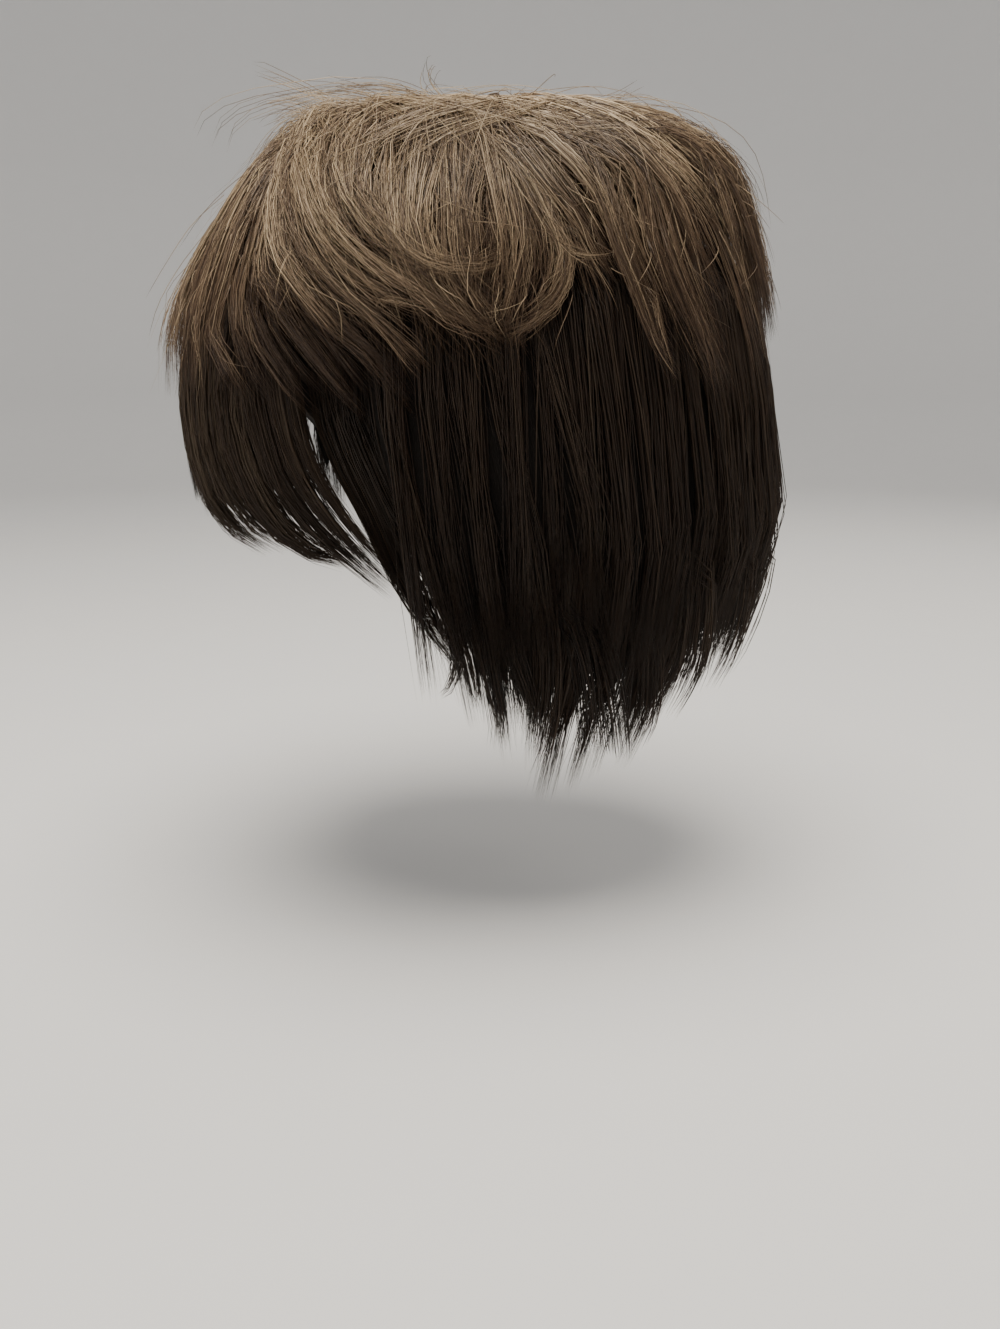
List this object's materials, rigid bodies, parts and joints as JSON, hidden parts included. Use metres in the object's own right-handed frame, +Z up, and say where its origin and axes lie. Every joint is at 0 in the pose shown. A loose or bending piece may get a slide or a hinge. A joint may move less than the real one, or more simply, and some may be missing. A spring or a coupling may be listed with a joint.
{
  "type": "synthetic wig",
  "caption": "Short layered synthetic wig with choppy brown locks, a fringe swept to the side and a thin hollow cloth cap that fits over a head.",
  "frame": {"origin": "Top of the hollow inside the cap, where the cap rests on the crown of the head.", "axes": "+Z is up, -Y is the front over the forehead, +X is the wearer's left."},
  "size_m": [0.1874, 0.2294, 0.2359],
  "materials": {
    "cap_cloth": "matt knitted net",
    "hair_under": "fine synthetic fibre, nearly black brown",
    "hair_middle": "fine synthetic fibre, dark brown",
    "hair_top": "fine synthetic fibre, light ash brown"
  },
  "bodies": {
    "root": {"cap": "cap_cloth", "nape_hair": "hair_under", "side_hair_left": "hair_under", "side_hair_right": "hair_under", "back_hair": "hair_middle", "fringe": "hair_middle", "crown_hair": "hair_top"}
  },
  "joints": []
}
